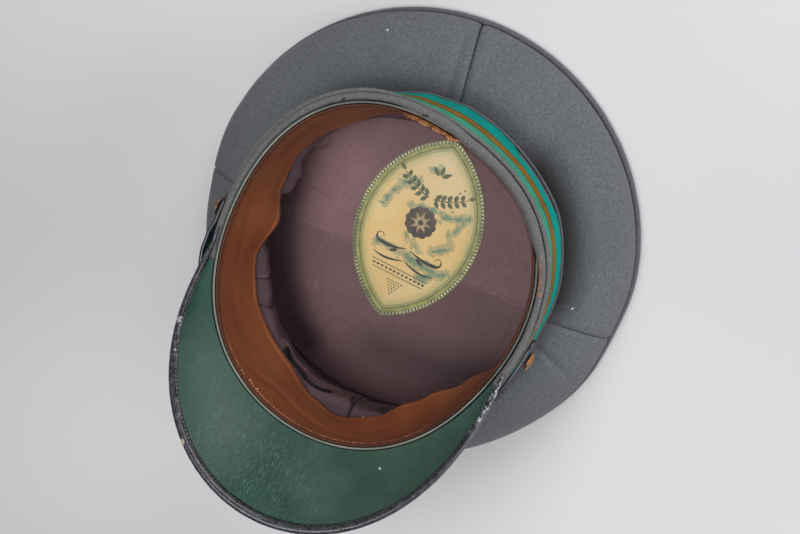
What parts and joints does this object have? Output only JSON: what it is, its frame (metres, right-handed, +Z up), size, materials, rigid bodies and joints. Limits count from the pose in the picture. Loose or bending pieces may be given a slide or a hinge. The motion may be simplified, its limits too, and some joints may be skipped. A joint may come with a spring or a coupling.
{
  "type": "peaked uniform cap",
  "caption": "Grey wool peaked uniform cap lying upside down on its flat crown, its lined head opening up, with a green-lined black visor and a ribboned band.",
  "frame": {"origin": "middle of the crown's flat face, on the surface that the cap rests on", "axes": "+Z up, from the crown to the head opening; -Y towards the visor; +X towards the wearer's right"},
  "size_m": [0.2589, 0.2639, 0.1541],
  "materials": {
    "grey_wool": "matt woven wool",
    "piping_wool": "matt wool piping",
    "band_wool": "worn wool, paler than the crown",
    "teal_ribbon": "ribbed woven ribbon with an ochre stripe",
    "brown_leather": "worn smooth sweatband leather",
    "reed_cloth": "grey-green cloth over a reed",
    "mauve_satin": "satin with creases",
    "label_oilcloth": "cream oilcloth with green stains",
    "label_edge": "printed oilcloth border",
    "patent_leather": "glossy patent leather",
    "green_oilcloth": "dark green, finely grooved and slightly shiny",
    "black_binding": "crazed black lacquer binding",
    "strap_leather": "dark lacquered strap",
    "button_brass": "tarnished brass"
  },
  "bodies": {
    "root": {"crown_top": "grey_wool", "crown_piping": "piping_wool", "crown_panel_front_left": "grey_wool", "crown_panel_front_right": "grey_wool", "crown_panel_back_left": "grey_wool", "crown_panel_back_right": "grey_wool", "band": "band_wool", "band_piping_lower": "band_wool", "band_piping_upper": "piping_wool", "hat_ribbon": "teal_ribbon", "sweatband": "brown_leather", "sweatband_reed": "reed_cloth", "lining_side": "mauve_satin", "lining_tip": "mauve_satin", "label": "label_oilcloth", "label_border": "label_edge", "visor_top": "patent_leather", "visor_underside": "green_oilcloth", "visor_binding": "black_binding", "chin_strap": "strap_leather", "strap_button_left": "button_brass", "strap_button_right": "button_brass"}
  },
  "joints": []
}
